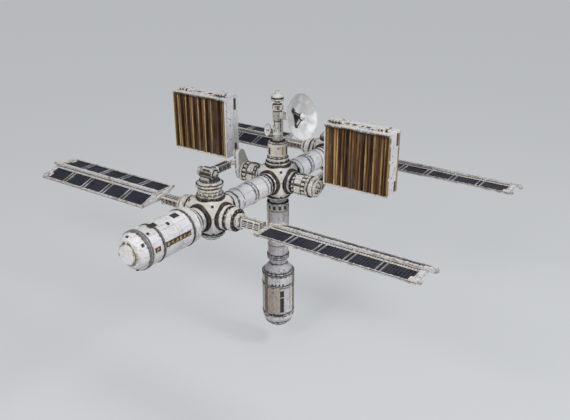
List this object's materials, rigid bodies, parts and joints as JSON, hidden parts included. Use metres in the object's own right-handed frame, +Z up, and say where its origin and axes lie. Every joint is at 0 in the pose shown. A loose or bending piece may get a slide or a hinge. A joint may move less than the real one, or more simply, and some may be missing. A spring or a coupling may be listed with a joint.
{
  "type": "modular space station, 1:2 scale model",
  "caption": "Modular space station with solar wings, swinging pleated panel boxes, dish mast, robot arm and docking ports, at half size.",
  "frame": {"origin": "centre of the middle node, where the four corridors of the station meet", "axes": "+X forward to the habitat module, +Y to the side of the lower-hung pleated box, +Z up the mast"},
  "size_m": [21.4056, 27.24, 16.7734],
  "materials": {
    "cream_paint": "satin",
    "grey_metal": "satin",
    "gold_panel": "satin",
    "solar_cell": "gloss"
  },
  "bodies": {
    "station": {"centre_node": "cream_paint", "front_node": "cream_paint", "rear_node": "cream_paint", "front_tunnel": "cream_paint", "rear_tunnel": "cream_paint", "lower_tunnel": "cream_paint", "lower_module": "cream_paint", "habitat_module": "cream_paint", "front_lower_cap": "cream_paint", "rear_lower_cap": "cream_paint", "rear_upper_cap": "cream_paint", "aft_cap": "cream_paint", "arm_adapter": "cream_paint", "tower": "cream_paint", "mast": "cream_paint", "small_dish": "cream_paint", "left_swivel": "cream_paint", "right_swivel": "cream_paint", "front_left_wing_joint": "cream_paint", "front_right_wing_joint": "cream_paint", "rear_left_wing_joint": "cream_paint", "rear_right_wing_joint": "cream_paint"},
    "front_left_wing": {"front_left_boom": "cream_paint", "front_left_wing_frame": "cream_paint", "front_left_solar_blanket": "solar_cell"},
    "front_right_wing": {"front_right_boom": "cream_paint", "front_right_wing_frame": "cream_paint", "front_right_solar_blanket": "solar_cell"},
    "rear_left_wing": {"rear_left_boom": "cream_paint", "rear_left_wing_frame": "cream_paint", "rear_left_solar_blanket": "solar_cell"},
    "rear_right_wing": {"rear_right_boom": "cream_paint", "rear_right_wing_frame": "cream_paint", "rear_right_solar_blanket": "solar_cell"},
    "left_swing": {"left_swing_arm": "cream_paint"},
    "left_box": {"left_box_core": "cream_paint", "left_front_pleats": "gold_panel", "left_back_pleats": "gold_panel"},
    "right_swing": {"right_swing_arm": "cream_paint"},
    "right_box": {"right_box_core": "cream_paint", "right_front_pleats": "gold_panel", "right_back_pleats": "gold_panel"},
    "dish_mount": {"dish_bracket": "grey_metal"},
    "dish": {"main_dish": "cream_paint"},
    "arm_base": {"arm_turntable": "grey_metal"},
    "arm": {"arm_boom": "cream_paint"},
    "gripper": {"arm_gripper": "grey_metal"}
  },
  "joints": [
    {"name": "front_left_wing_turn", "type": "hinge", "parent": "station", "child": "front_left_wing", "pos_m": [6.65, -2.1473, 0], "axis": [0, 1, 0], "continuous": true},
    {"name": "front_right_wing_turn", "type": "hinge", "parent": "station", "child": "front_right_wing", "pos_m": [6.65, 2.1473, 0], "axis": [0, 1, 0], "continuous": true},
    {"name": "rear_left_wing_turn", "type": "hinge", "parent": "station", "child": "rear_left_wing", "pos_m": [-6.65, -2.1473, 0], "axis": [0, 1, 0], "continuous": true},
    {"name": "rear_right_wing_turn", "type": "hinge", "parent": "station", "child": "rear_right_wing", "pos_m": [-6.65, 2.1473, 0], "axis": [0, 1, 0], "continuous": true},
    {"name": "left_arm_swing", "type": "hinge", "parent": "station", "child": "left_swing", "pos_m": [0, -2.66, 0], "axis": [0, 1, 0], "range_deg": [-90, 20]},
    {"name": "left_box_tilt", "type": "hinge", "parent": "left_swing", "child": "left_box", "pos_m": [0.33388, -3.19, 1.24604], "axis": [0, 1, 0], "range_deg": [-90, 90]},
    {"name": "right_arm_swing", "type": "hinge", "parent": "station", "child": "right_swing", "pos_m": [0, 2.66, 0], "axis": [0, 1, 0], "range_deg": [-3, 107]},
    {"name": "right_box_tilt", "type": "hinge", "parent": "right_swing", "child": "right_box", "pos_m": [-1.22686, 3.19, 0.39863], "axis": [0, 1, 0], "range_deg": [-90, 90]},
    {"name": "dish_azimuth", "type": "hinge", "parent": "station", "child": "dish_mount", "pos_m": [0, 0, 4.21979], "axis": [0, 0, 1], "range_deg": [-60, 60]},
    {"name": "dish_elevation", "type": "hinge", "parent": "dish_mount", "child": "dish", "pos_m": [0.11278, 1.09073, 4.21979], "axis": [0.9949, -0.1011, 0], "range_deg": [-30, 30]},
    {"name": "arm_yaw", "type": "hinge", "parent": "station", "child": "arm_base", "pos_m": [6.65, 0, 2.4256], "axis": [0, 0, 1], "range_deg": [-165, 165]},
    {"name": "arm_pitch", "type": "hinge", "parent": "arm_base", "child": "arm", "pos_m": [6.65, 0, 2.4256], "axis": [0, 1, 0], "range_deg": [-10, 80]},
    {"name": "arm_wrist", "type": "hinge", "parent": "arm", "child": "gripper", "pos_m": [4.77, 0, 2.4256], "axis": [0, 1, 0], "range_deg": [-80, 80]}
  ]
}
